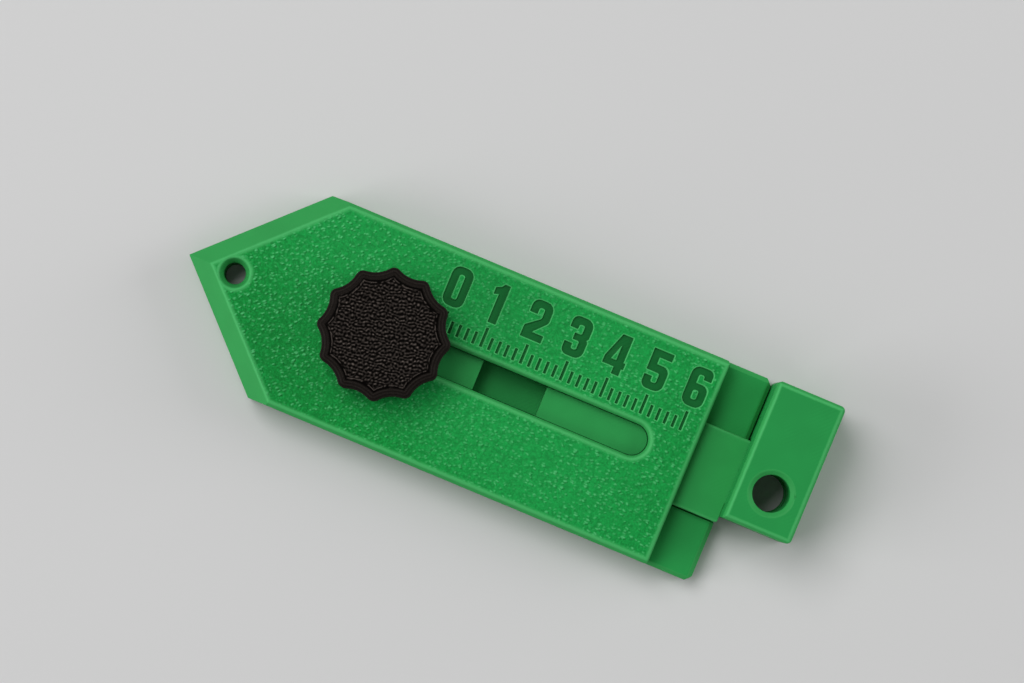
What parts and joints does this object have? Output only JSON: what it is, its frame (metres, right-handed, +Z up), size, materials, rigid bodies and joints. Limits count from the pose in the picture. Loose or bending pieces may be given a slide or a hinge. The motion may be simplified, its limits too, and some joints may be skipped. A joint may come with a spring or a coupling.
{
  "type": "offset marking gauge",
  "caption": "Pointed flat body with a sliding bar in a long slot, clamped by a scalloped knob, and an offset end block with a pencil hole.",
  "frame": {"origin": "middle of the bounding box in plan, at the underside", "axes": "+X from the pointed end to the end block, along the sliding bar; +Y towards the long side that the end block is flush with; +Z up from the flat underside"},
  "size_m": [0.1536, 0.0508, 0.0239],
  "materials": {
    "smooth_green_plastic": "smooth satin print",
    "textured_green_plastic": "fine sparkling grain",
    "black_plastic": "fine wrinkled grain on the top, smooth edge",
    "zinc_plated_steel": "zinc plated",
    "brass": "turned"
  },
  "bodies": {
    "gauge_body": {"base_plate": "smooth_green_plastic", "cover_plate": "textured_green_plastic", "cover_screw_1": "zinc_plated_steel", "cover_screw_2": "zinc_plated_steel", "cover_screw_3": "zinc_plated_steel", "cover_screw_4": "zinc_plated_steel", "cover_screw_5": "zinc_plated_steel", "cover_insert_1": "brass", "cover_insert_2": "brass", "cover_insert_3": "brass", "cover_insert_4": "brass", "cover_insert_5": "brass"},
    "slider": {"slider_bar": "smooth_green_plastic", "head_block": "smooth_green_plastic", "clamp_bolt": "zinc_plated_steel", "head_screw_1": "zinc_plated_steel", "head_screw_2": "zinc_plated_steel", "head_insert_1": "brass", "head_insert_2": "brass"},
    "clamp_washer": {"knob_washer": "zinc_plated_steel"},
    "clamp_knob": {"knob": "black_plastic", "knob_nut": "zinc_plated_steel"}
  },
  "joints": [
    {"name": "slider_travel", "type": "slide", "parent": "gauge_body", "child": "slider", "axis": [1, 0, 0], "range_m": [0, 0.062]},
    {"name": "knob_lift", "type": "slide", "parent": "slider", "child": "clamp_washer", "axis": [0, 0, 1], "range_m": [0, 0.0008]},
    {"name": "knob_turn", "type": "hinge", "parent": "clamp_washer", "child": "clamp_knob", "pos_m": [-0.0277, 0, 0.0123], "axis": [0, 0, 1], "range_deg": [0, 360]}
  ],
  "couplings": [
    {"joint": "knob_lift", "follows": "knob_turn", "m_per_rad": 0.00012732}
  ]
}
